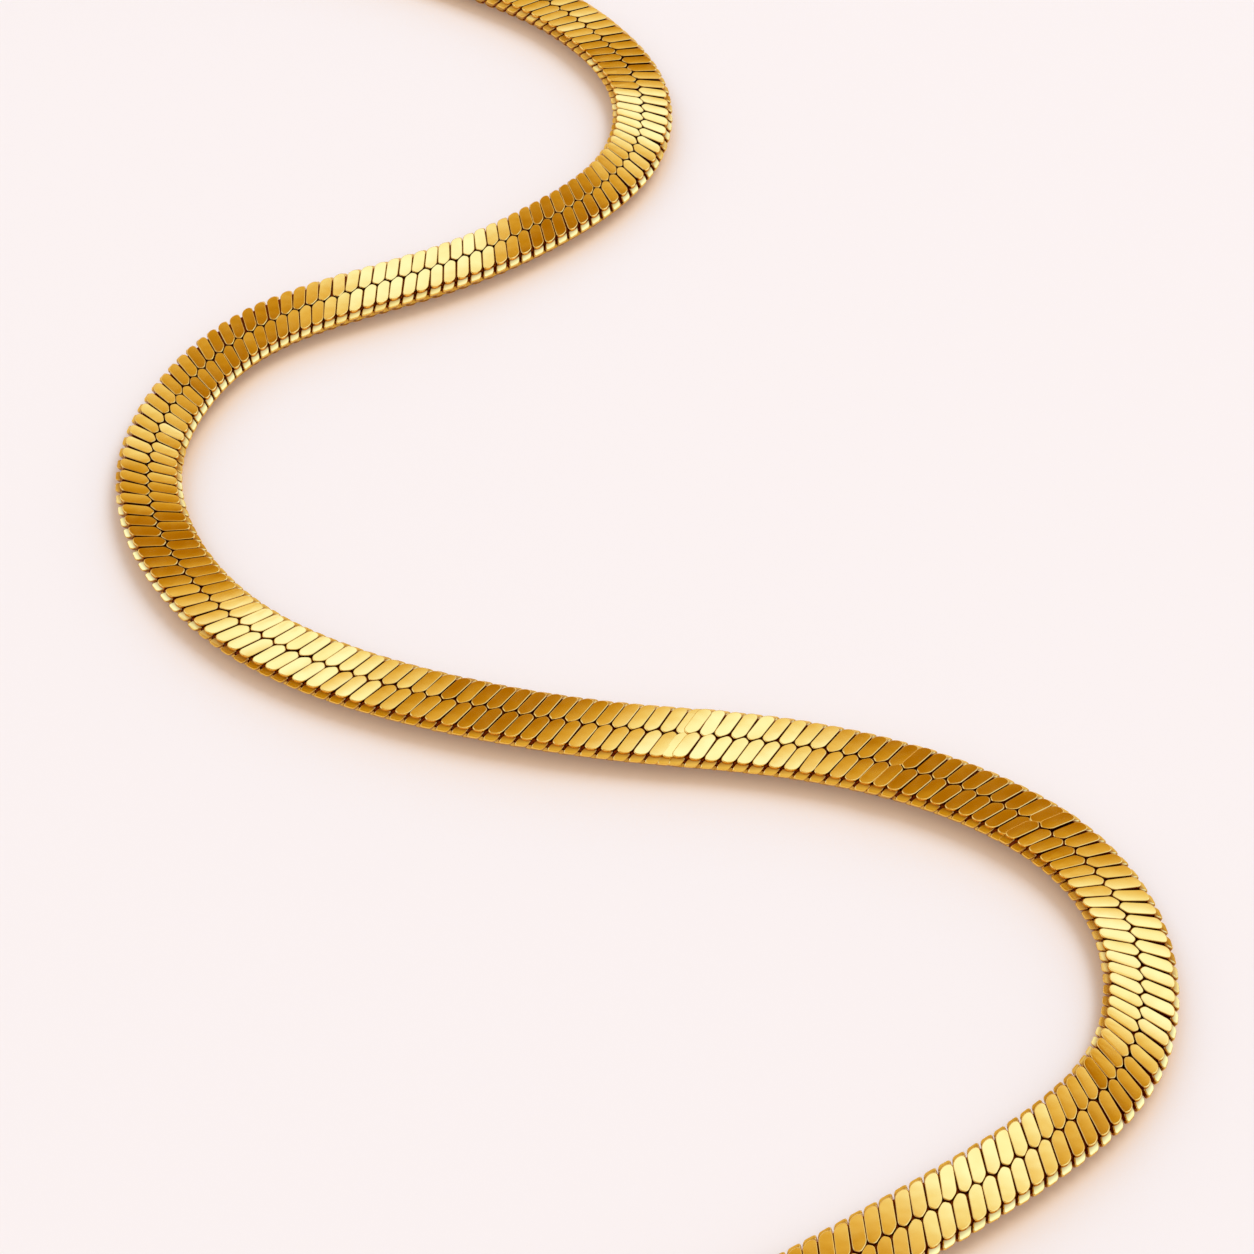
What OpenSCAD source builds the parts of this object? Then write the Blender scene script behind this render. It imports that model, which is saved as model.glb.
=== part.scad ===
// Flat snake chain necklace, lying on a surface in an S with its clasp done up.
// Millimetres, +Z up. The surface that it lies on is z = 0, and the origin is the middle of the whole loop.

/* [Chain] */
// Width of the flat chain
chain_w = 4; // [3.6:0.1:4.4]
// Thickness of the chain over both faces
chain_t = 1.4; // [1.2:0.05:1.6]
// Radius of the chain's four long edges
edge_r = 0.45; // [0.3:0.05:0.55]

/* [End caps] */
// Length of chain inside each cap
cap_grip = 4; // [3:0.25:4.5]
// Wall of a cap round the chain
cap_wall = 0.35; // [0.3:0.05:0.45]
// Room between a cap and the chain in it
cap_room = 0.08; // [0.05:0.01:0.12]
// Wall at a cap's closed end
cap_nose = 0.8; // [0.6:0.1:1]
// Radius of a cap's long edges
cap_edge_r = 0.6; // [0.4:0.1:0.8]
// Thickness of the wire of a cap's eye
eye_wire = 0.6; // [0.5:0.05:0.65]
// Inner diameter of a cap's eye
eye_hole = 1.8; // [1.75:0.05:2]

/* [Clasp] */
// Height of the clasp's middle plane above the surface
clasp_z = 1.2; // [1.15:0.05:1.25]
// Thickness of the wire of the tail ring
tail_wire = 0.7; // [0.5:0.05:0.75]
// Mean diameter of the tail ring
tail_ring = 2.3; // [2.2:0.05:2.5]
// Thickness of the hook's wire where it passes through the eye
hook_wire = 0.85; // [0.7:0.05:0.9]
// Width of the hook between the middles of its two sides
hook_w = 3.7; // [3.4:0.1:4]
// Thickness of the hook's back, its strong side
back_wire = 1.4; // [1.1:0.1:1.6]
// Largest diameter of the barrel between the hook and the tail ring
barrel_d = 2.4; // [2:0.1:2.4]

/* [Hidden] */
$fn = 64;
gold = "#d9a941";
pale_gold = "#e3b95c";

// Where the chain's two ends stand: on the straight line x = clasp_x, as far from y = 0 on either side
clasp_x = -63;
chain_end_y = 8;

// The chain's middle line as it lies, from the tail end cap round to the hook end cap. The points pull a
// smooth curve (a uniform cubic B-spline), which starts at the first point and ends at the last.
route = [
    // From the clasp round the far side of the loop
    [clasp_x, chain_end_y], [clasp_x, 14], [clasp_x, 22], [-59, 37], [-48, 50.5], [-31, 59.5], [-12.5, 63],
    [5, 62], [18.5, 57.5],
    // Far bend of the S
    [28.5, 52], [32.5, 49], [37.5, 42.5], [37, 34.5], [31.5, 29], [24.5, 24.5],
    // Left bend
    [16, 21.5], [10, 17.5], [6, 9], [8, 1], [13.5, -5.5], [21, -9],
    // Long run to the right
    [28, -11], [36, -12.5], [43.5, -13], [52.5, -15],
    // Near bend
    [60.5, -19.5], [64, -26], [63, -34], [57, -39], [50.5, -43],
    // Back along the near side of the loop to the clasp
    [42, -48], [28.5, -55], [12, -60.5], [-7, -63], [-26.5, -61], [-44.5, -53], [-57.5, -39],
    [clasp_x, -22], [clasp_x, -14], [clasp_x, -chain_end_y]
];
// Rings of the swept chain to each span of the route
rings_per_span = 2;
// The chain rises to its caps: it is level this far beyond a cap's mouth, and comes down over the next stretch
level_run = 2.5;
rise_run = 12;

cap_t = chain_t + 2 * (cap_wall + cap_room);
cap_w = chain_w + 2 * (cap_wall + cap_room);
end_lift = cap_wall + cap_room;
cap_l = cap_grip + cap_room + cap_nose;
nose_y = chain_end_y - cap_room - cap_nose;

// An eye stands on the surface, and sinks into its cap's nose by this much past the middle of its wire
eye_sink = 0.15;
eye_r = (eye_hole + eye_wire) / 2;
eye_z = eye_r + eye_wire / 2;
eye_y = nose_y + eye_sink - eye_r;

// The two wires that pass through the eyes run through the middle of them
tail_y = eye_y - tail_ring / 2;
hook_r = hook_w / 2;
hook_low_y = -eye_y + hook_r;
hook_high_y = -0.9;
barrel_low_y = hook_high_y + hook_r - hook_wire;
barrel_high_y = tail_y - tail_ring / 2 + tail_wire / 2;
gate_wire = 0.7 * hook_wire;
knob_r = 0.55;

// The curve's four weights, and how they change, at a fraction t of a span
function weights(t) = [
    pow(1 - t, 3),
    3 * pow(t, 3) - 6 * pow(t, 2) + 4,
    -3 * pow(t, 3) + 3 * pow(t, 2) + 3 * t + 1,
    pow(t, 3)
] / 6;
function weight_slopes(t) = [
    -3 * pow(1 - t, 2),
    9 * pow(t, 2) - 12 * t,
    -9 * pow(t, 2) + 6 * t + 3,
    3 * pow(t, 2)
] / 6;

// A mirrored point beyond each end makes the curve start and stop on the end points
last = len(route) - 1;
pulls = concat([2 * route[0] - route[1]], route, [2 * route[last] - route[last - 1]]);
function four_pulls(span) = [pulls[span], pulls[span + 1], pulls[span + 2], pulls[span + 3]];
function route_point(span, t) = weights(t) * four_pulls(span);
function route_slope(span, t) = weight_slopes(t) * four_pulls(span);
function across(slope) = [-slope[1], slope[0]] / norm(slope);

// Spans and fractions at which the swept chain has its rings
stations = concat(
    [for (span = [0 : last - 1]) for (k = [0 : rings_per_span - 1]) [span, k / rings_per_span]],
    [[last - 1, 1]]
);

// Height that the chain has risen by at a point of its middle line
function smooth(u) = u <= 0 ? 0 : u >= 1 ? 1 : u * u * (3 - 2 * u);
function end_distance(p) = min(norm(p - route[0]), norm(p - route[last]));
function rise(p) = end_lift * (1 - smooth((end_distance(p) - cap_grip - level_run) / rise_run));

// Outline of the chain's cross-section: across the chain, and up from its middle
side = [1, -1, -1, 1];
up = [1, 1, -1, -1];
section = [
    for (corner = [0 : 3]) for (turn = [0, 45, 90]) [
        side[corner] * (chain_w / 2 - edge_r) + edge_r * cos(90 * corner + turn),
        up[corner] * (chain_t / 2 - edge_r) + edge_r * sin(90 * corner + turn)
    ]
];

// One flat band with rounded edges, swept along the route
module chain() {
    corners = len(section);
    points = [
        for (s = stations)
            let (p = route_point(s[0], s[1]), a = across(route_slope(s[0], s[1])))
                for (c = section) [p[0] + c[0] * a[0], p[1] + c[0] * a[1], chain_t / 2 + c[1] + rise(p)]
    ];
    walls = [
        for (i = [0 : len(stations) - 2]) for (j = [0 : corners - 1])
            let (next = (j + 1) % corners)
                [i * corners + j, (i + 1) * corners + j, (i + 1) * corners + next, i * corners + next]
    ];
    first_end = [for (j = [0 : corners - 1]) j];
    last_end = [for (j = [corners - 1 : -1 : 0]) (len(stations) - 1) * corners + j];
    color(gold) polyhedron(points = points, faces = concat(walls, [first_end, last_end]), convexity = 12);
}

// A flat rectangle with round corners, centred
module rounded_rectangle(w, h, r) {
    square([w, h - 2 * r], center = true);
    square([w - 2 * r, h], center = true);
    for (x = [-1, 1]) for (y = [-1, 1]) translate([x * (w / 2 - r), y * (h / 2 - r)]) circle(r = r);
}

// A bar of that section along +Y from y = 0, its middle plane at the height z
module rounded_bar(w, h, r, length, z) {
    translate([0, length, z]) rotate([90, 0, 0]) linear_extrude(length) rounded_rectangle(w, h, r);
}

// A ring of round wire: mean radius, wire thickness, and the part of a turn that it covers
module wire_ring(mean_r, wire, turn = 360) {
    rotate_extrude(angle = turn) translate([mean_r, 0]) circle(d = wire, $fn = 32);
}

// A straight round wire along +Y between two places on the line x
module wire_side(x, low_y, high_y, wire) {
    translate([x, low_y, 0]) rotate([-90, 0, 0]) cylinder(d = wire, h = high_y - low_y, $fn = 32);
}

// A cap at the +Y end of the clasp: a flat pocket for the chain, a nose rounded in plan, and a standing eye
module end_cap() {
    nose_corner_r = cap_w * 0.35;
    translate([clasp_x, 0, 0]) {
        difference() {
            intersection() {
                translate([0, nose_y, 0]) rounded_bar(cap_w, cap_t, cap_edge_r, cap_l, cap_t / 2);
                translate([0, nose_y + cap_l, 0]) linear_extrude(cap_t) {
                    translate([0, -cap_l + nose_corner_r]) {
                        square([cap_w - 2 * nose_corner_r, 2 * nose_corner_r], center = true);
                        for (x = [-1, 1]) translate([x * (cap_w / 2 - nose_corner_r), 0]) circle(r = nose_corner_r);
                    }
                    translate([-cap_w / 2, -cap_l + nose_corner_r]) square([cap_w, cap_l - nose_corner_r]);
                }
            }
            translate([0, chain_end_y - cap_room, 0])
                rounded_bar(chain_w + 2 * cap_room, chain_t + 2 * cap_room, edge_r + cap_room, cap_grip + 1, cap_t / 2);
        }
        translate([0, eye_y, eye_z]) rotate([0, 90, 0]) wire_ring(eye_r, eye_wire);
    }
}

module tail_end_cap() {
    color(pale_gold) end_cap();
}

module hook_end_cap() {
    color(pale_gold) mirror([0, 1, 0]) end_cap();
}

// Turned barrel, thick in the middle, from the hook's top to the tail ring
module barrel() {
    half = (barrel_high_y - barrel_low_y) / 2;
    neck_r = tail_wire / 2;
    swell = barrel_d / 2 - neck_r;
    steps = 12;
    outline = [for (i = [-steps : steps]) [neck_r + swell * cos(90 * i / steps), half * i / steps]];
    translate([0, barrel_low_y + half, 0]) rotate([-90, 0, 0])
        rotate_extrude() polygon(concat([[0, -half]], outline, [[0, half]]));
}

// The hook: a long closed loop with a strong back, a thin gate and the knob that would draw the gate back
module hook() {
    translate([0, hook_low_y, 0]) rotate([0, 0, 180]) wire_ring(hook_r, hook_wire, 180);
    translate([0, hook_high_y, 0]) wire_ring(hook_r, hook_wire, 180);
    wire_side(-hook_r, hook_low_y, hook_high_y, hook_wire);
    wire_side(hook_r, hook_low_y, hook_high_y, gate_wire);
    taper = (back_wire - hook_wire) * 1.5;
    wire_side(-hook_r, hook_low_y + taper, hook_high_y - taper, back_wire);
    translate([-hook_r, hook_low_y, 0]) rotate([-90, 0, 0])
        cylinder(d1 = hook_wire, d2 = back_wire, h = taper, $fn = 32);
    translate([-hook_r, hook_high_y, 0]) rotate([90, 0, 0])
        cylinder(d1 = hook_wire, d2 = back_wire, h = taper, $fn = 32);
    translate([hook_r + gate_wire / 2, hook_high_y - knob_r, 0]) sphere(r = knob_r, $fn = 32);
}

module clasp() {
    color(pale_gold) translate([clasp_x, 0, clasp_z]) {
        hook();
        barrel();
        translate([0, tail_y, 0]) wire_ring(tail_ring / 2, tail_wire);
    }
}

chain();
tail_end_cap();
hook_end_cap();
clasp();
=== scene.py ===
# %% [markdown]
# # A flat snake chain
# The object is a gold neck chain that lies on a table in an S, with its clasp done up. A flat snake chain
# is a band of small plates: two rows of slanted scales on the upper face, two rows below, and along either
# edge a row of side links that hold them together. The fixed frame has the band as one plain solid, because
# its plates are too many and too small for it. They could be painted on that solid as a pattern, but their
# gaps and glints would not hold up from near by. So each kind of link is modelled once and laid in rows
# over the band, and the two end caps and the clasp keep their solids and get their finish.

import math

import bmesh
import bpy
import numpy as np
from mathutils import Matrix, Vector


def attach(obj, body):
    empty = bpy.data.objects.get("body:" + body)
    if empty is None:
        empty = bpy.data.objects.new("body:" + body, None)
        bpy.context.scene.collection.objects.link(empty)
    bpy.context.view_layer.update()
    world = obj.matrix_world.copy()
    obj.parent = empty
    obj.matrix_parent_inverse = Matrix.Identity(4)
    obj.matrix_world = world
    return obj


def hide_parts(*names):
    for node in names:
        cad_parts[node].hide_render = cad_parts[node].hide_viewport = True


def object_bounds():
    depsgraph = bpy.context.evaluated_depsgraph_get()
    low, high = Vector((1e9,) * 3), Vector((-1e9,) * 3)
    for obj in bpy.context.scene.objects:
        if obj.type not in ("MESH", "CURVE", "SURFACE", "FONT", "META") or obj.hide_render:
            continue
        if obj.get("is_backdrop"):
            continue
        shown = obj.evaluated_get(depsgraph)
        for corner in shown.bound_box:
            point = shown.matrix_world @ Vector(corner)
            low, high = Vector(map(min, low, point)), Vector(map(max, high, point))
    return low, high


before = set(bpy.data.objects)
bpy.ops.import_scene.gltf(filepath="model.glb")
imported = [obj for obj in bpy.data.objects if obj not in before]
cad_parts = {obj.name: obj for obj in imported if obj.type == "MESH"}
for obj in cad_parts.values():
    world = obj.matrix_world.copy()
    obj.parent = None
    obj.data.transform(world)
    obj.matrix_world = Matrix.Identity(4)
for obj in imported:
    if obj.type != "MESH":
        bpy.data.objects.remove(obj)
cad_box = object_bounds()
mm = 0.001
print("nodes of the frame:", sorted(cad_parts))

# %% [markdown]
# ## The camera
# The camera comes first, because all that follows is judged through it. It stands in front of the loop and
# looks down at it with a portrait lens, from so near that the loop's left half lies outside the view. It
# could be turned by eye in the viewport. Here it gets a point to look at, a distance and an elevation,
# because three such values can be changed one at a time.

# %% Place the camera
look_at = Vector((36, -4, 0)) * mm
camera_distance = 174.06 * mm
camera_elevation = math.radians(51.84)

lens = bpy.data.cameras.new("camera")
lens.lens = 85
lens.sensor_width = 36
lens.clip_start = 0.01
camera = bpy.data.objects.new("camera", lens)
step_back = Vector((0, -math.cos(camera_elevation), math.sin(camera_elevation)))
camera.location = look_at + camera_distance * step_back
camera.rotation_euler = (math.pi / 2 - camera_elevation, 0, 0)
bpy.context.scene.collection.objects.link(camera)
bpy.context.scene.camera = camera
print("camera at", [round(x, 4) for x in camera.location])

# %% [markdown]
# ## The line that the chain lies on
# The chain's middle line is one smooth curve through the whole loop, pulled by a few points in the way of a
# B-spline. The solid band of the frame follows the same points, so whatever is laid along this line lies
# where the band is. A curve object with a Curve modifier could carry the links too, but it would bend each
# rigid plate. So the curve is measured once, in small steps, and every link then asks for its place by its
# distance along it.

# %% The points of the route, from the tail end cap round to the hook end cap
route = mm * np.array([
    (-63, 8), (-63, 14), (-63, 22), (-59, 37), (-48, 50.5), (-31, 59.5), (-12.5, 63), (5, 62),
    (18.5, 57.5), (28.5, 52), (32.5, 49), (37.5, 42.5), (37, 34.5), (31.5, 29), (24.5, 24.5),
    (16, 21.5), (10, 17.5), (6, 9), (8, 1), (13.5, -5.5), (21, -9), (28, -11), (36, -12.5), (43.5, -13),
    (52.5, -15), (60.5, -19.5), (64, -26), (63, -34), (57, -39), (50.5, -43), (42, -48), (28.5, -55),
    (12, -60.5), (-7, -63), (-26.5, -61), (-44.5, -53), (-57.5, -39), (-63, -22), (-63, -14), (-63, -8),
])

# %% Measure the curve that they pull
steps_per_span = 60


def smooth_line(points):
    """The curve's points, a small step apart, from the first pulling point to the last."""
    pulls = np.vstack([2 * points[0] - points[1], points, 2 * points[-1] - points[-2]])
    t = np.arange(steps_per_span)[:, None] / steps_per_span
    weights = np.hstack([(1 - t) ** 3, 3 * t**3 - 6 * t**2 + 4, -3 * t**3 + 3 * t**2 + 3 * t + 1, t**3]) / 6
    spans = [weights @ pulls[i : i + 4] for i in range(len(points) - 1)]
    return np.vstack(spans + [points[-1:]])


line = smooth_line(route)
strides = np.diff(line, axis=0)
travelled = np.concatenate([[0], np.cumsum(np.hypot(strides[:, 0], strides[:, 1]))])
chain_length = travelled[-1]
slopes = np.gradient(line, travelled, axis=0)
headings = np.unwrap(np.arctan2(slopes[:, 1], slopes[:, 0]))
bends = np.gradient(headings, travelled)
print(f"chain {chain_length / mm:.1f} mm long, tightest bend {1 / np.abs(bends).max() / mm:.1f} mm")

# %% [markdown]
# Near the clasp the chain rises a little, because it runs into its caps at the height of their pockets. The
# rise could be a third number of each route point. It is a smooth step by the distance from either end
# instead, the same as the solid band's, so the two keep together.

# %% How far the chain has risen
cap_lift = 0.43 * mm
cap_grip = 4 * mm
level_run = 2.5 * mm
rise_run = 12 * mm

from_the_ends = np.minimum(np.hypot(*(line - route[0]).T), np.hypot(*(line - route[-1]).T))
share = np.clip((from_the_ends - cap_grip - level_run) / rise_run, 0, 1)
rises = cap_lift * (1 - share * share * (3 - 2 * share))


def lay(along, across, up):
    """Places on the necklace, from distances along the chain, left of its middle and above its underside."""
    heading = np.interp(along, travelled, headings)
    x = np.interp(along, travelled, line[:, 0]) - across * np.sin(heading)
    y = np.interp(along, travelled, line[:, 1]) + across * np.cos(heading)
    return np.stack([x, y, up + np.interp(along, travelled, rises)], axis=-1)


# %% [markdown]
# ## How the chain lies
# A real chain never lies quite flat. It rolls a few degrees one way and then the other, and because its
# plates are nearly flat mirrors, each roll turns a stretch of them from dark to bright. A wave would give
# even bands. A short list of leans lets each bright stretch lie where a real chain would show it: how far
# the upper plates lean towards the far side of the table, in degrees, at places along the chain in
# millimetres. Between two rows of the list the lean changes smoothly, and it fades out towards the
# underside, which rests on the table.

# %% The lean of the plates
lean_table = [
    (0, 0), (20, 0), (35, 2), (50, -2), (66, 2.5), (82, -2), (98, 2), (110, 0), (120, -0.2),
    (126.5, 1.4), (131.5, 0.8), (137.5, 2.2), (143.5, -0.1), (153.5, -2.4), (156, -2.4), (162, 1.1),
    (167, 1.2), (175.5, -1.4), (179.5, -1.1), (187.5, 0.9), (198, -0.7), (205.5, -3), (207, -3),
    (221, 1.3), (233.5, -1.8), (246, 2), (250, 2.1), (262, -0.6), (264.5, -0.4), (270, -1.9),
    (279.5, 1.5), (288, 0), (300, -2), (316, 2), (332, -2.5), (350, 2), (368, -2), (384, 2), (398, -1),
    (412, 0), (434, 0),
]
lean_places, lean_degrees = np.array(lean_table, float).T


def lean_at(along):
    """The lean in degrees at distances along the chain, eased between the rows of the table."""
    at = np.clip(along / mm, 0, lean_places[-1] - 1e-6)
    row = np.searchsorted(lean_places, at, side="right") - 1
    u = (at - lean_places[row]) / (lean_places[row + 1] - lean_places[row])
    ease = u * u * (3 - 2 * u)
    return lean_degrees[row] * (1 - ease) + lean_degrees[row + 1] * ease


print("leans at most", np.abs(lean_degrees).max(), "degrees")

# %% [markdown]
# ## Helpers for every link
# All links are made in millimetres, as a chain maker would measure them, and become metres when they are
# laid. A link slants along the chain, its shape is closed, and its broken edges are shaded smooth while its
# faces stay flat. Each corner also gets a value for how open it lies: the less open, the more its gold turns
# to a dark red. In the gaps between links and low down this red is partly tarnish, which polishing does not
# reach, and partly painted shade. On the forward flank of a link's rim and on an edge link's face towards
# the band it is painted shade only, while the backward flank stays bare. How open a corner lies could be
# found from the finished shape by ambient occlusion, but a value on each corner is sure.

# %% How open a corner lies to wear and to light
# The lower the level, the more of the dark red of tarnish and painted shade; shaded is painted shade only.
deep = 0.0
shaded = 0.3
by_side = 0.5
worn_and_less_shaded = 0.7
bare = 1.0
print("five levels, from", deep, "to", bare)

# %% Close and slant a link
def shut(bm):
    """Merges doubles, turns all faces outwards and checks that the shape is closed."""
    bmesh.ops.remove_doubles(bm, verts=bm.verts[:], dist=0.0005)
    bmesh.ops.recalc_face_normals(bm, faces=bm.faces[:])
    if not all(edge.is_manifold for edge in bm.edges):
        raise RuntimeError("a link is not closed")
    return bm


def shear_along(bm, per_across, per_up=0.0):
    """Slants a link: it moves along the chain by a share of its place across and of its height."""
    slant = Matrix.Identity(4)
    slant[0][1] = per_across
    slant[0][2] = per_up
    bmesh.ops.transform(bm, matrix=slant, verts=bm.verts[:])


# %% Finish the faces of a link
steepest_rim = 0.4
flattest_rim = 0.97


def finish_faces(bm, openness):
    """Writes on each corner how open it lies to wear and to light, and shades only the rims smooth."""
    layer = bm.verts.layers.float.new("open")
    for corner in bm.verts:
        corner[layer] = openness(corner.co)
    bm.normal_update()
    for face in bm.faces:
        face.smooth = steepest_rim < face.normal.z < flattest_rim


# %% [markdown]
# ## One scale
# Each scale is a small stamped plate: six-sided, twice as long as wide, with a blunt inner end that sits
# between two scales of the other row, a rounder outer end, and an edge that is broken by tumbling. It could
# be cut from a cube with many bevels. A six-sided disc is nearer to it: its corners are moved to their
# places and rounded, it is given its thickness, its upper rim is bevelled, and it is slanted.

# %% Sizes of the band and of a scale
chain_t = 1.4
link_pitch = 0.92
scale_w = 0.87
inner_tip = 0.125
inner_shoulder = -0.175
outer_shoulder = -1.62
outer_tip = -1.79
inner_corner = 0.16
outer_corner = 0.2
scale_t = 0.19
scale_slant = 0.48
rim = 0.05
rim_drop = 0.025
print(f"a scale is {inner_tip - outer_tip:.2f} mm long and {scale_w} mm wide")

# %% Where a scale is worn bare
def scale_openness(place):
    """Bare on top and at the outer end, tarnished and in painted shade low down, flank rims by their side.
    """
    at_the_end = place.y < outer_shoulder
    if place.z > scale_t - rim_drop / 2:
        return bare
    if place.z > scale_t / 2:
        return bare if at_the_end else by_side
    return worn_and_less_shaded if at_the_end else deep


# %% Make a scale
def make_scale():
    """One scale of the right-hand upper row."""
    bm = bmesh.new()
    bmesh.ops.create_circle(bm, cap_ends=True, segments=6, radius=1)
    ends = {1.0: inner_tip, 0.5: inner_shoulder, -0.5: outer_shoulder, -1.0: outer_tip}
    for corner in bm.verts:
        corner.co.x *= scale_w / 2 / math.sin(math.radians(60))
        corner.co.y = ends[round(corner.co.y, 1)]
    for inner, cut in ((True, inner_corner), (False, outer_corner)):
        corners = [v for v in bm.verts if (v.co.y > -1) == inner]
        bmesh.ops.bevel(
            bm, geom=corners, affect="VERTICES", offset=cut, segments=3, profile=0.5, material=-1
        )
    thick = bmesh.ops.extrude_face_region(bm, geom=bm.faces[:], use_keep_orig=True)
    raised = [v for v in thick["geom"] if isinstance(v, bmesh.types.BMVert)]
    bmesh.ops.translate(bm, verts=raised, vec=(0, 0, scale_t))
    upper_rim = [e for e in bm.edges if all(v.co.z > scale_t / 2 for v in e.verts)]
    bmesh.ops.bevel(
        bm, geom=upper_rim, affect="EDGES", offset=rim, segments=1, profile=0.5, material=-1
    )
    for corner in bm.verts:
        if scale_t / 2 < corner.co.z < scale_t - rim / 2:
            corner.co.z = scale_t - rim_drop
    finish_faces(bm, scale_openness)
    bmesh.ops.translate(bm, verts=bm.verts[:], vec=(0, 0, chain_t - scale_t))
    shear_along(bm, scale_slant)
    return shut(bm)


scale = make_scale()
print("a scale has", len(scale.faces), "faces")

# %% [markdown]
# ## One edge link
# Under the outer end of each scale a side link looks out. It is a small thick tongue that slopes down and
# outwards, with two round corners and a broken edge, and it slants as its scale does. Below it, and half a
# link further on, the links of the underside do the same upside down, so the edge of the band has two
# tiers. The real link goes on inside the band, where nobody sees it. Only its outer end is made here, from
# a cube whose two outer corners are rounded and whose upper rim is bevelled before it is tilted into place.

# %% Sizes of an edge link
side_w = 0.82
side_long = 0.5
side_thick = 0.3
side_dip = math.radians(27)
side_corner = 0.2
side_rim = 0.07
side_slant_down = 0.4
print("a tongue slopes", round(math.degrees(side_dip)), "degrees")

# %% Where an edge link is worn bare
def side_openness(place):
    """Bare at the outer end, painted shade on the face towards the band, tarnished and in painted shade
    below and behind.
    """
    at_the_end = place.y < side_rim - side_long / 2
    if place.z > side_thick / 2 - side_rim / 2:
        return bare if place.y < 0 else shaded
    if place.z > 0:
        return bare if at_the_end else by_side
    return worn_and_less_shaded if at_the_end else deep


# %% Make an edge link
def make_side_link(reach, height):
    """One edge link of the right-hand side. Its outer edge stands out to reach, at the given height."""
    bm = bmesh.new()
    bmesh.ops.create_cube(bm, size=1)
    bmesh.ops.scale(bm, vec=(side_w, side_long, side_thick), verts=bm.verts[:])
    corners = [e for e in bm.edges if e.verts[0].co.y < 0 and e.verts[0].co.xy == e.verts[1].co.xy]
    bmesh.ops.bevel(
        bm, geom=corners, affect="EDGES", offset=side_corner, segments=3, profile=0.5, material=-1
    )
    outer_rim = [e for e in bm.edges if all(v.co.z > 0 for v in e.verts)]
    bmesh.ops.bevel(
        bm, geom=outer_rim, affect="EDGES", offset=side_rim, segments=1, profile=0.5, material=-1
    )
    finish_faces(bm, side_openness)
    bmesh.ops.translate(bm, verts=bm.verts[:], vec=(0, side_long / 2, -side_thick / 2))
    bmesh.ops.rotate(bm, cent=(0, 0, 0), matrix=Matrix.Rotation(side_dip, 3, "X"), verts=bm.verts[:])
    bmesh.ops.translate(bm, verts=bm.verts[:], vec=(0, -reach, height))
    shear_along(bm, scale_slant, side_slant_down)
    bmesh.ops.translate(bm, verts=bm.verts[:], vec=(-side_slant_down * (chain_t - scale_t), 0, 0))
    return shut(bm)


side_link = make_side_link(reach=2.06, height=1.01)
print("an edge link has", len(side_link.faces), "faces")

# %% [markdown]
# ## The pitch of the links
# In a straight stretch the links follow each other at an even pitch. In a bend they draw together a little,
# and where a worn chain has been pinched, one link is squeezed and the next rides up over its edge. Each
# link could get a place of its own by hand. Counting how many links have passed at each point of the line
# is shorter, because a squeeze is then one small step in that count.

# %% Count the links along the line
first_link = 0.9
straight_share = 1.01
crowding = 1.5
kinks = [(231.1, 0.55), (243.2, 0.15), (251.4, 0.3)]
kink_lift = 0.07

smoothing_steps = 61
smoothing = np.ones(smoothing_steps) / smoothing_steps
curling = np.convolve(np.abs(bends) * mm, smoothing, "same")
pitches = link_pitch * (straight_share - crowding * curling)
passed = np.concatenate([[0], np.cumsum(np.diff(travelled / mm) * 2 / (pitches[1:] + pitches[:-1]))])
for kink, squeezed in kinks:
    passed += squeezed / link_pitch * np.clip((travelled / mm - kink) / squeezed + 0.5, 0, 1)
link_count = int(passed[-1] - 2 * first_link)
print(link_count, "links to a row, a pitch of", pitches.min().round(3), "to", pitches.max().round(3), "mm")

# %% [markdown]
# ## The rows
# A row is one link repeated by an Array modifier and then laid along the line. A link is rigid, so each
# copy is carried whole to its place and turned to its heading. Each gets a small shift and turn of its own,
# as real links have in their play. In a bend the links of the outer side keep their width and gape, and
# those of the inner side draw together. The other upper row is the same row turned half round about an
# upright axis, and the lower rows are the upper ones turned half round about the chain's middle line, so
# one link serves all four places.

# %% Turns and play of a row
half_turn_up = Matrix.Rotation(math.pi, 4, "Z")
half_turn_under = Matrix.Translation((0, 0, chain_t)) @ Matrix.Rotation(math.pi, 4, "X")
play_shift = 0.012
play_turn = math.radians(0.2)
play_yaw = math.radians(1.2)
dice = np.random.default_rng(11)

# %% Repeat a link
def repeated(name, link, turned):
    """A mesh with a row's copies of a link, a pitch apart, each copy's corners together."""
    bm = link.copy()
    bmesh.ops.transform(bm, matrix=turned, verts=bm.verts[:])
    mesh = bpy.data.meshes.new(name)
    bm.to_mesh(mesh)
    bm.free()
    piece = bpy.data.objects.new(name, mesh)
    bpy.context.scene.collection.objects.link(piece)
    array = piece.modifiers.new("row", "ARRAY")
    array.count = link_count
    array.use_relative_offset = False
    array.use_constant_offset = True
    array.constant_offset_displace = (link_pitch, 0, 0)
    ready = piece.evaluated_get(bpy.context.evaluated_depsgraph_get())
    piece.data = bpy.data.meshes.new_from_object(ready)
    piece.modifiers.clear()
    piece.data.name = name
    return piece


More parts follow.
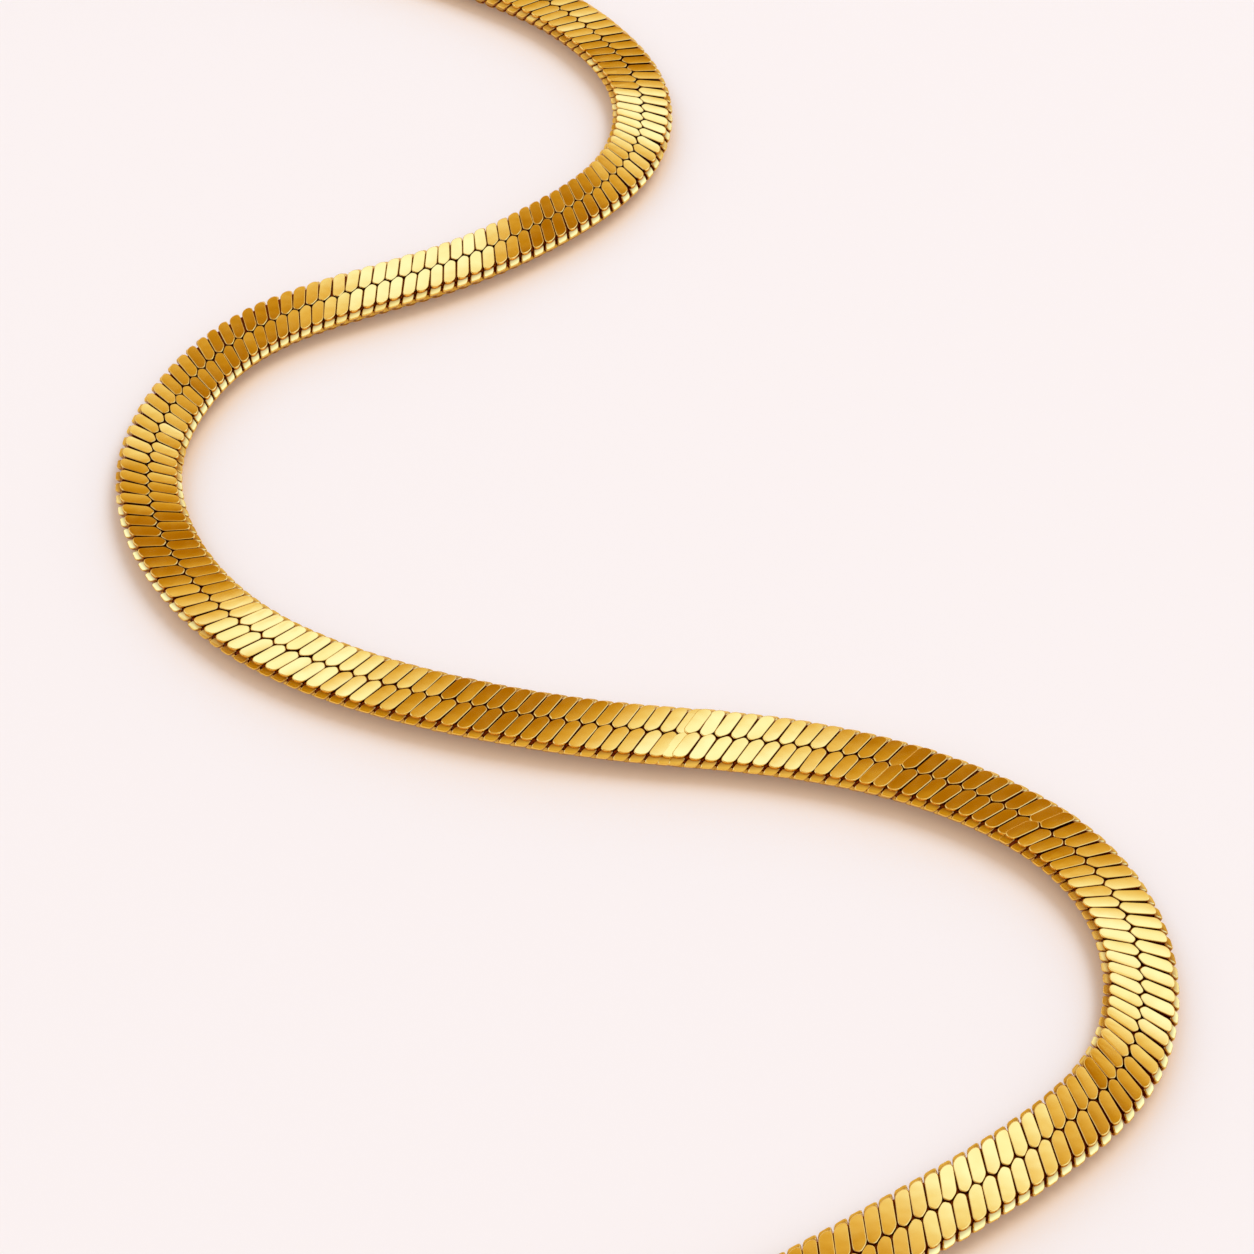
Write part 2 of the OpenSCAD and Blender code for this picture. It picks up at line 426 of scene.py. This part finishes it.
# %% Carry the copies to their places
def laid(own, middle, offset, loose):
    """Places on the necklace of the corners of a row's links, from their places about a link's middle."""
    number = np.arange(link_count)
    shift = dice.normal(0, play_shift * loose, (link_count, 3))
    yaw, roll, pitch = dice.normal(0, loose, (3, link_count)) * [[play_yaw], [play_turn], [play_turn]]
    centre = np.interp(first_link + number + offset, passed, travelled / mm)
    squeeze = np.interp(centre, travelled / mm, pitches) / link_pitch
    lean = np.radians(lean_at(centre * mm))
    heading = np.interp(centre * mm, travelled, headings)
    bend = np.interp(centre * mm, travelled, bends) * mm
    free = (own[:, :, 2] + middle[2]) / chain_t
    lift = kink_lift * sum((centre > kink) & (centre < kink + link_pitch) for kink, squeezed in kinks)

    across = middle[1] + own[:, :, 1] + own[:, :, 0] * yaw[:, None] + shift[:, 1:2] * 0.5
    along = (middle[0] + own[:, :, 0]) * squeeze[:, None] - own[:, :, 1] * yaw[:, None] + shift[:, :1]
    steps = own[:, :, 0] * (pitch - np.tan(lean) * np.sin(heading))[:, None]
    rolls = own[:, :, 1] * roll[:, None] - across * (np.tan(lean) * np.cos(heading))[:, None]
    rolls += lift[:, None] + shift[:, 2:] * 0.5
    up = middle[2] + own[:, :, 2] + free * (steps + rolls)
    along = centre[:, None] + along / np.maximum(1, 1 - bend[:, None] * across)
    return lay(along * mm, across * mm, np.clip(up, 0, None) * mm)


# %% Write what the gold has to know of each corner
def mark(mesh, own, openness_factor):
    """Attributes for the materials: how open a corner lies, its place in its link, and the link's tone."""
    openness = np.empty(len(mesh.vertices), np.float32)
    mesh.attributes["open"].data.foreach_get("value", openness)
    squared = own[:, :, 0] - own[:, :, 1] * scale_slant
    # Painted light on the rims: the backward flank stays bare gold and the forward flank is painted in
    # shade.
    painted_flank_shade = np.where((squared < 0).reshape(-1), bare, shaded)
    openness = np.where(np.isclose(openness, by_side), painted_flank_shade, openness) * openness_factor
    mesh.attributes["open"].data.foreach_set("value", openness.astype(np.float32))
    in_link = np.stack([squared, own[:, :, 1], np.zeros_like(squared)], axis=-1)
    within = mesh.attributes.new("in_link", "FLOAT_VECTOR", "POINT")
    within.data.foreach_set("vector", in_link.reshape(-1).astype(np.float32))
    tone = mesh.attributes.new("link_tone", "FLOAT", "POINT")
    tone.data.foreach_set("value", np.repeat(dice.random(link_count), own.shape[1]).astype(np.float32))


# %% Make a row
def make_row(name, link, turned=Matrix.Identity(4), offset=0.0, loose=1.0, openness_factor=1.0):
    """One row of links on the necklace, as one mesh in metres."""
    piece = repeated(name, link, turned)
    corners = np.empty(len(piece.data.vertices) * 3, np.float32)
    piece.data.vertices.foreach_get("co", corners)
    corners = corners.astype(float).reshape(link_count, -1, 3)
    corners[:, :, 0] -= np.arange(link_count)[:, None] * link_pitch
    middle = corners.mean(axis=(0, 1))
    own = corners - middle
    places = laid(own, middle, offset, loose)
    piece.data.vertices.foreach_set("co", places.reshape(-1).astype(np.float32))
    mark(piece.data, own, openness_factor)
    piece.data.update()
    triangles = sum(len(p.vertices) - 2 for p in piece.data.polygons)
    print(f"{name}: {triangles} triangles")
    return piece


# %% The upper rows and their edge links
upper_scales_right = make_row("upper_scales_right", scale)
upper_scales_left = make_row("upper_scales_left", scale, half_turn_up, 0.5)
side_links_right = make_row("side_links_right", side_link)
side_links_left = make_row("side_links_left", side_link, half_turn_up, 0.5)

# %% [markdown]
# The underside has the same links. It could be left plain, since it lies on the table, but a chain is also
# turned over and looked at. Its scales are a little shorter and its edge links stand out less than the
# upper ones, so the band is narrower where it touches the table. Its links are also held straighter by
# lying on it.

# %% The underside's rows
lower_length = 0.82
lower_side_link = make_side_link(reach=1.78, height=0.94)
lower_scale = scale.copy()
bmesh.ops.scale(lower_scale, vec=(1, lower_length, 1), verts=lower_scale.verts[:])

# The underside's openness is lowered, so its links take more of the dark red: painted shade under the band.
under = {"loose": 0.5, "openness_factor": 0.75}
round_about = half_turn_up @ half_turn_under
under_scales_left = make_row("under_scales_left", lower_scale, half_turn_under, 0.0, **under)
under_scales_right = make_row("under_scales_right", lower_scale, round_about, 0.5, **under)
under_side_links_left = make_row("under_side_links_left", lower_side_link, half_turn_under, 0.0, **under)
under_side_links_right = make_row("under_side_links_right", lower_side_link, round_about, 0.5, **under)

# %% [markdown]
# ## The inside
# Between the plates the gaps show the inner parts of the links, dark because hardly any light gets there.
# They could be the whole folded links with their wires. As only a dark brown is seen of them, they are a
# row of blocks with broken edges, from edge to edge of the band and slanted as the scales are.

# %% Sizes of an inner link
inner_long = 0.94 * link_pitch
inner_w = 3.2
inner_low = 0.22
inner_high = 1.17
inner_rim = 0.1
print(f"an inner link is {inner_high - inner_low:.2f} mm high")

# %% Make the inner links
def make_inner_link():
    """One block of the row inside the band."""
    bm = bmesh.new()
    bmesh.ops.create_cube(bm, size=1)
    size = (inner_long, inner_w, inner_high - inner_low)
    bmesh.ops.scale(bm, vec=size, verts=bm.verts[:])
    bmesh.ops.bevel(
        bm, geom=bm.edges[:], affect="EDGES", offset=inner_rim, segments=1, profile=0.5, material=-1
    )
    # Every corner is deep, so the whole block takes the dark red: painted shade inside the band.
    finish_faces(bm, lambda place: deep)
    bmesh.ops.translate(bm, verts=bm.verts[:], vec=(0, 0, (inner_low + inner_high) / 2))
    shear_along(bm, scale_slant)
    return shut(bm)


inner_links = make_row("inner_links", make_inner_link(), offset=0.25, loose=0.5)

# %% [markdown]
# ## Gold
# The chain is yellow gold, or brass plated with it. Its scales are rolled and tumbled, so their faces are
# bright and a little crowned, and their broken edges shine. A metal has no colour but its reflection, so
# the colour goes into Base Color with Metallic at 1, and the detail into Roughness and into very shallow
# bumps. Photographs of metal could be used as textures, but a few noises give the same at any size. Three
# effects serve more than one of the metals, so each is made once, as a node group: clouds of handling with
# hair-fine polishing marks, the crown of a link's face, and the colour of a link between bare gold and a
# dark red that is partly tarnish and partly painted shade.

# %% The handling group
def make_handling_group():
    """Node group: clouds of handling and fine polishing marks, as two values from 0 to 1."""
    group = bpy.data.node_groups.new("handling", "ShaderNodeTree")
    for name in ("Cloud Scale", "Mark Scale"):
        group.interface.new_socket(name, in_out="INPUT", socket_type="NodeSocketFloat")
    for name in ("Clouds", "Marks"):
        group.interface.new_socket(name, in_out="OUTPUT", socket_type="NodeSocketFloat")
    nodes, links = group.nodes, group.links
    given = nodes.new("NodeGroupInput")
    result = nodes.new("NodeGroupOutput")
    places = nodes.new("ShaderNodeTexCoord")
    clouds = nodes.new("ShaderNodeTexNoise")
    clouds.inputs["Detail"].default_value = 1
    marks = nodes.new("ShaderNodeTexNoise")
    marks.inputs["Detail"].default_value = 2
    links.new(places.outputs["Object"], clouds.inputs["Vector"])
    links.new(given.outputs["Cloud Scale"], clouds.inputs["Scale"])
    links.new(places.outputs["Object"], marks.inputs["Vector"])
    links.new(given.outputs["Mark Scale"], marks.inputs["Scale"])
    links.new(clouds.outputs["Fac"], result.inputs["Clouds"])
    links.new(marks.outputs["Fac"], result.inputs["Marks"])
    return group


# %% The crown group
def make_crown_group():
    """Node group: the height that a crowned face loses, by a point's distance from its link's middle."""
    group = bpy.data.node_groups.new("crown", "ShaderNodeTree")
    group.interface.new_socket("Half Size", in_out="INPUT", socket_type="NodeSocketVector")
    group.interface.new_socket("Drop", in_out="OUTPUT", socket_type="NodeSocketFloat")
    nodes, links = group.nodes, group.links
    given = nodes.new("NodeGroupInput")
    result = nodes.new("NodeGroupOutput")
    within = nodes.new("ShaderNodeAttribute")
    within.attribute_name = "in_link"
    shares = nodes.new("ShaderNodeVectorMath")
    shares.operation = "DIVIDE"
    square = nodes.new("ShaderNodeVectorMath")
    square.operation = "DOT_PRODUCT"
    links.new(within.outputs["Vector"], shares.inputs[0])
    links.new(given.outputs["Half Size"], shares.inputs[1])
    links.new(shares.outputs["Vector"], square.inputs[0])
    links.new(shares.outputs["Vector"], square.inputs[1])
    links.new(square.outputs["Value"], result.inputs["Drop"])
    return group


# %% The link colour group
def make_link_colour_group():
    """Node group: a link's own gold, between deep and pale, mixed with a tarnished red and painted shade
    where not open.
    """
    group = bpy.data.node_groups.new("link colour", "ShaderNodeTree")
    for name in ("Deep", "Pale", "Tarnish And Shade"):
        group.interface.new_socket(name, in_out="INPUT", socket_type="NodeSocketColor")
    group.interface.new_socket("Colour", in_out="OUTPUT", socket_type="NodeSocketColor")
    nodes, links = group.nodes, group.links
    given = nodes.new("NodeGroupInput")
    result = nodes.new("NodeGroupOutput")
    mixed = given.outputs["Deep"]
    for attribute, low, high in (("link_tone", "Deep", "Pale"), ("open", "Tarnish And Shade", None)):
        value = nodes.new("ShaderNodeAttribute")
        value.attribute_name = attribute
        mix = nodes.new("ShaderNodeMix")
        mix.data_type = "RGBA"
        links.new(value.outputs["Fac"], mix.inputs["Factor"])
        links.new(given.outputs[low], mix.inputs["A"])
        links.new(given.outputs[high] if high else mixed, mix.inputs["B"])
        mixed = mix.outputs["Result"]
    links.new(mixed, result.inputs["Colour"])
    return group


# %% Build the three groups
handling = make_handling_group()
crown = make_crown_group()
link_colour = make_link_colour_group()
# The dark red of the gaps, low corners and shaded faces: partly tarnish, partly painted shade.
tarnish_and_shade_colour = (0.22, 0.03, 0.0, 1)
print("groups:", [group.name for group in (handling, crown, link_colour)])

# %% Polish and bumps of a gold
mark_scale = 9000


def start_gold(name, smoothest, roughest, mark_height, dent_height, cloud_scale):
    """A gold without its colour: the material, its handling group, and the bump below the marks."""
    material = bpy.data.materials.new(name)
    material.use_nodes = True
    nodes, links = material.node_tree.nodes, material.node_tree.links
    gold = nodes["Principled BSDF"]
    gold.inputs["Metallic"].default_value = 1
    touch = nodes.new("ShaderNodeGroup")
    touch.node_tree = handling
    touch.inputs["Cloud Scale"].default_value = cloud_scale
    touch.inputs["Mark Scale"].default_value = mark_scale
    polish = nodes.new("ShaderNodeMapRange")
    polish.inputs["From Min"].default_value = 0.35
    polish.inputs["From Max"].default_value = 0.65
    polish.inputs["To Min"].default_value = smoothest
    polish.inputs["To Max"].default_value = roughest
    marked = nodes.new("ShaderNodeBump")
    marked.inputs["Distance"].default_value = mark_height * mm
    dented = nodes.new("ShaderNodeBump")
    dented.inputs["Distance"].default_value = dent_height * mm
    links.new(touch.outputs["Clouds"], polish.inputs["Value"])
    links.new(polish.outputs["Result"], gold.inputs["Roughness"])
    links.new(touch.outputs["Clouds"], dented.inputs["Height"])
    links.new(touch.outputs["Marks"], marked.inputs["Height"])
    links.new(dented.outputs["Normal"], marked.inputs["Normal"])
    links.new(marked.outputs["Normal"], gold.inputs["Normal"])
    return material, touch, dented


# %% A gold for links
crown_half_size = (0.6, 1, 1)
crown_drop = 0.0035
link_clouds = 1000


def make_link_gold(name, pale, deep, smoothest, roughest, mark_height, dent_height=0.0):
    """A gold whose tone differs a little from link to link, crowned, and tarnished and in painted shade in
    the gaps.
    """
    material, _, dented = start_gold(name, smoothest, roughest, mark_height, dent_height, link_clouds)
    nodes, links = material.node_tree.nodes, material.node_tree.links
    colour = nodes.new("ShaderNodeGroup")
    colour.node_tree = link_colour
    colour.inputs["Pale"].default_value = (*pale, 1)
    colour.inputs["Deep"].default_value = (*deep, 1)
    colour.inputs["Tarnish And Shade"].default_value = tarnish_and_shade_colour
    links.new(colour.outputs["Colour"], nodes["Principled BSDF"].inputs["Base Color"])
    domed = nodes.new("ShaderNodeGroup")
    domed.node_tree = crown
    domed.inputs["Half Size"].default_value = crown_half_size
    bulge = nodes.new("ShaderNodeBump")
    bulge.invert = True
    bulge.inputs["Distance"].default_value = crown_drop * mm
    links.new(domed.outputs["Drop"], bulge.inputs["Height"])
    links.new(bulge.outputs["Normal"], dented.inputs["Normal"])
    return material


scale_gold = make_link_gold(
    "scale gold", pale=(0.97, 0.59, 0.11), deep=(0.94, 0.56, 0.09),
    smoothest=0.06, roughest=0.09, mark_height=0.0001, dent_height=0.003,
)
edge_gold = make_link_gold(
    "edge gold", pale=(0.97, 0.6, 0.12), deep=(0.93, 0.57, 0.1),
    smoothest=0.12, roughest=0.16, mark_height=0.0001, dent_height=0.003,
)
# The inner gold's own colours are dark, for painted shade; with every corner deep, only the dark red shows.
inner_gold = make_link_gold(
    "inner gold", pale=(0.5, 0.14, 0.006), deep=(0.42, 0.11, 0.004),
    smoothest=0.4, roughest=0.5, mark_height=0.001,
)
print("link golds:", [gold.name for gold in (scale_gold, edge_gold, inner_gold)])


# %% The gold of the caps and the clasp
fitting_clouds = 300


def make_fitting_gold():
    """The smooth gold of turned and stamped fittings, whose tone changes with the clouds of handling."""
    material, touch, _ = start_gold("fitting gold", 0.08, 0.14, 0.0003, 0.002, fitting_clouds)
    nodes, links = material.node_tree.nodes, material.node_tree.links
    colours = nodes.new("ShaderNodeMix")
    colours.data_type = "RGBA"
    colours.inputs["A"].default_value = (0.94, 0.61, 0.15, 1)
    colours.inputs["B"].default_value = (0.97, 0.65, 0.18, 1)
    links.new(touch.outputs["Clouds"], colours.inputs["Factor"])
    links.new(colours.outputs["Result"], nodes["Principled BSDF"].inputs["Base Color"])
    return material


fitting_gold = make_fitting_gold()
print("fittings:", fitting_gold.name)

# %% [markdown]
# ## Put on the finishes
# Every new piece stands for the frame's plain band, rides with the necklace's one body, and gets one of
# the three link golds. The caps and the clasp could be modelled anew as well. Their solids already have the
# right shape, so they stay, and get the brighter gold of fittings.

# %% Finish and fasten the pieces
chain_finishes = {
    scale_gold: [upper_scales_right, upper_scales_left, under_scales_left, under_scales_right],
    edge_gold: [side_links_right, side_links_left, under_side_links_left, under_side_links_right],
    inner_gold: [inner_links],
}
for finish, row_pieces in chain_finishes.items():
    for piece in row_pieces:
        piece.data.materials.append(finish)
        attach(piece, "root")
        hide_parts("chain")
    print(finish.name, "on", len(row_pieces), "pieces")

for node in ("tail_end_cap", "hook_end_cap", "clasp"):
    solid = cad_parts[node]
    solid.data.materials.clear()
    solid.data.materials.append(fitting_gold)
    print(node, "keeps its solid")

# %% [markdown]
# ## The table
# The table is a plain pale sheet. Close in front of the chain, on the side that its light does not reach,
# the gold throws its own warm colour on the paper. Light that a mirror throws back is slow and noisy to
# trace, so the paper is tinted instead with painted warm shade, and gives off a little warm light of its
# own: the less open sky it has above it and behind it, the warmer and darker is its tone and the stronger
# that light.

# %% Lay the table
table_size = 4
table_mesh = bpy.data.meshes.new("table")
sheet = bmesh.new()
bmesh.ops.create_grid(sheet, x_segments=1, y_segments=1, size=table_size / 2)
sheet.to_mesh(table_mesh)
sheet.free()
table = bpy.data.objects.new("table", table_mesh)
bpy.context.scene.collection.objects.link(table)
table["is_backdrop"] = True
print("table", table_size, "m wide")

# %% Find how little open sky the paper has
table_paper = bpy.data.materials.new("table paper")
table_paper.use_nodes = True
nodes, links = table_paper.node_tree.nodes, table_paper.node_tree.links
paper = nodes["Principled BSDF"]
paper.inputs["Roughness"].default_value = 0.9
paper.inputs["Specular IOR Level"].default_value = 0.1
nearness = nodes.new("ShaderNodeAmbientOcclusion")
nearness.samples = 8
nearness.inputs["Distance"].default_value = 8 * mm
facing_back = nodes.new("ShaderNodeCombineXYZ")
for axis, value in zip("XYZ", (0, 0.6, 0.8)):
    facing_back.inputs[axis].default_value = value
links.new(facing_back.outputs["Vector"], nearness.inputs["Normal"])
print("the chain tells on the paper within", round(nearness.inputs["Distance"].default_value / mm), "mm")

# %% Tint the paper near the chain with painted warm shade
glow = nodes.new("ShaderNodeMapRange")
glow.inputs["From Min"].default_value = 0.47
glow.inputs["From Max"].default_value = 0.86
tint = nodes.new("ShaderNodeMix")
tint.data_type = "RGBA"
tint.inputs["A"].default_value = (0.8, 0.58, 0.4, 1)
tint.inputs["B"].default_value = (0.845, 0.803, 0.8, 1)
links.new(nearness.outputs["AO"], glow.inputs["Value"])
links.new(glow.outputs["Result"], tint.inputs["Factor"])
links.new(tint.outputs["Result"], paper.inputs["Base Color"])

# %% Give it the light that the gold throws back
thrown_back = nodes.new("ShaderNodeMapRange")
thrown_back.inputs["From Min"].default_value = 0.78
thrown_back.inputs["From Max"].default_value = 0.5
thrown_back.inputs["To Max"].default_value = 0.155
paper.inputs["Emission Color"].default_value = (1.0, 0.8, 0.62, 1)
links.new(nearness.outputs["AO"], thrown_back.inputs["Value"])
links.new(thrown_back.outputs["Result"], paper.inputs["Emission Strength"])
table_mesh.materials.append(table_paper)
print("the paper has", len(nodes), "nodes")

# %% [markdown]
# ## The key light
# One large soft lamp from behind and to the right gives the chain its short soft shadow. It could be a sun
# with a wide angle. An area light far away is as even, and its size is easy to picture. Reflections leave
# it out, because the light tent already gives the gold all that it reflects.

# %% Hang the key light
key_direction = Vector((0.45, 0.64, 0.92)).normalized()
key_distance = 6
key_size = 3.1
key_power = 178

key_lamp = bpy.data.lights.new("key", "AREA")
key_lamp.shape = "SQUARE"
key_lamp.size = key_size
key_lamp.energy = key_power
key_lamp.color = (0.83, 0.92, 1.0)
key = bpy.data.objects.new("key", key_lamp)
key.location = look_at + key_distance * key_direction
key.rotation_euler = key_direction.to_track_quat("Z", "Y").to_euler()
key.visible_glossy = False
bpy.context.scene.collection.objects.link(key)
print("key light at", [round(x, 2) for x in key.location])

# %% [markdown]
# ## The light tent
# Gold needs something to reflect. Jewellery is often photographed in a light tent, white cloth with dark
# gaps. Here the gaps run round the tent as level rings, and each lean of the plates turns them from a white
# ring to a gap. Where only the sloping edge links look, in front and overhead, the tent goes from dark on
# its left to white on its right, and at its far left it is white again, so that the edge shines in both
# bends. Low down the rings are weaker, because gold seen at a flat angle would throw them back as white.
# The tent could be built of cloth and lamps, but as the world's background it has no edges, and each kind
# of ray can be given its own: reflections see the rings, while the table sees an even white, so that its
# shade stays plain.

# %% Tones of the tent
ring_period = 16
bright_ring = 42
even_white = (1.0, 0.92, 0.88, 1)
even_strength = 0.86
more_behind = 0.4
pale_backdrop = (0.95, 0.89, 0.89, 1)
tent_strength = 5
tent_tones = [
    (0.0, (0.086, 0.046, 0.0)),
    (0.25, (0.128, 0.09, 0.012)),
    (0.5, (0.168, 0.148, 0.095)),
    (0.75, (0.202, 0.234, 0.34)),
    (1.0, (0.22, 0.34, 0.9)),
]
print("tent tones at", [place for place, colour in tent_tones])

# %% Raise an empty tent
tent = bpy.data.worlds.new("light tent")
tent.use_nodes = True
bpy.context.scene.world = tent
tent.cycles.sampling_method = "NONE"
nodes, links = tent.node_tree.nodes, tent.node_tree.links
nodes.remove(nodes["Background"])


# %% Helpers for the tent's nodes
def add(kind, *values, **settings):
    """A node of the tent with its settings; values are sockets or numbers for its first inputs."""
    node = nodes.new(kind)
    for setting, value in settings.items():
        setattr(node, setting, value)
    for socket, value in zip(node.inputs, values):
        if isinstance(value, bpy.types.NodeSocket):
            links.new(value, socket)
        else:
            socket.default_value = value
    return node.outputs[0]


def spread(value, low, high):
    """A smooth rise from 0 to 1 while value goes from low to high."""
    return add("ShaderNodeMapRange", value, low, high, interpolation_type="SMOOTHSTEP")


def larger(one, other):
    """The larger of two values."""
    return add("ShaderNodeMath", one, other, operation="MAXIMUM")


def blend(share, one, other):
    """One value where share is 0, and the other where it is 1."""
    difference = add("ShaderNodeMath", other, one, operation="SUBTRACT")
    return add("ShaderNodeMath", share, difference, one, operation="MULTIPLY_ADD")


# %% The level rings
toward = add("ShaderNodeTexCoord")
parts = add("ShaderNodeSeparateXYZ", toward).node.outputs
elevation = add("ShaderNodeMath", parts["Z"], operation="ARCSINE")
from_ring = add("ShaderNodeMath", elevation, math.radians(bright_ring), operation="SUBTRACT")
half_period = math.radians(ring_period / 2)
off_ring = add("ShaderNodeMath", from_ring, half_period, operation="PINGPONG")
ring_tone = add("ShaderNodeMapRange", off_ring, 0.0, half_period, 1.1, -0.12)
print("bright rings", ring_period, "degrees apart")

# %% Where the rings show, and where the sides do
side_tone = larger(spread(parts["X"], -0.7, 0.55), spread(parts["X"], -0.6, -0.7))
high_or_left = larger(spread(parts["Z"], 0.45, 0.57), spread(parts["X"], 0.5, 0.3))
far_to_a_side = larger(spread(parts["X"], 0.3, 0.5), spread(parts["X"], -0.55, -0.68))
far_enough = add("ShaderNodeMath", far_to_a_side, -0.4, parts["Y"], operation="MULTIPLY_ADD")
before_the_chain = add("ShaderNodeMath", spread(far_enough, 0.0, 0.25), high_or_left, operation="MULTIPLY")
ringed = larger(before_the_chain, spread(parts["Y"], -0.4, -0.6))
high_tone = blend(ringed, side_tone, ring_tone)
low_rings = add("ShaderNodeMapRange", off_ring, 0.0, half_period, 0.65, 0.1)
near_the_horizon = add("ShaderNodeMapRange", parts["Z"], 0.0, 0.3, 0.6, 0.0)
tone = blend(spread(parts["Z"], 0.42, 0.32), high_tone, larger(low_rings, near_the_horizon))
print("rings and sides together take", len(nodes), "nodes")

# %% From tones to colours
ramp = add("ShaderNodeValToRGB", tone).node
stops = ramp.color_ramp.elements
stops.remove(stops[1])
for place, colour in tent_tones:
    stop = stops[0] if place == 0 else stops.new(place)
    stop.color = (*colour, 1)
reflected = add("ShaderNodeBackground", ramp.outputs["Color"], tent_strength)
print("the tent has", len(stops), "tones")

# %% What reflections, the table and the camera see
even_from_behind = add("ShaderNodeMath", parts["Y"], more_behind, even_strength, operation="MULTIPLY_ADD")
even = add("ShaderNodeBackground", even_white, even_from_behind)
pale = add("ShaderNodeBackground", pale_backdrop)
way = add("ShaderNodeLightPath").node.outputs
seen = add("ShaderNodeMixShader", way["Is Glossy Ray"], even, reflected)
shown = add("ShaderNodeMixShader", way["Is Camera Ray"], seen, pale)
links.new(shown, nodes["World Output"].inputs["Surface"])
print("the tent has", len(nodes), "nodes")

# %% [markdown]
# ## Colours as a camera would keep them
# A camera keeps only so much brightness. The filmic transforms would roll the brightest plates off to a
# dull cream. The plain transform lets them clip to pale yellow, as they do in a photograph of polished
# gold.

# %% Choose the transform, write the sizes and finish
bpy.context.scene.view_settings.view_transform = "Standard"
new_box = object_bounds()
for label, box in (("frame", cad_box), ("dressed", new_box)):
    print(label, [[round(value / mm, 2) for value in corner] for corner in box])
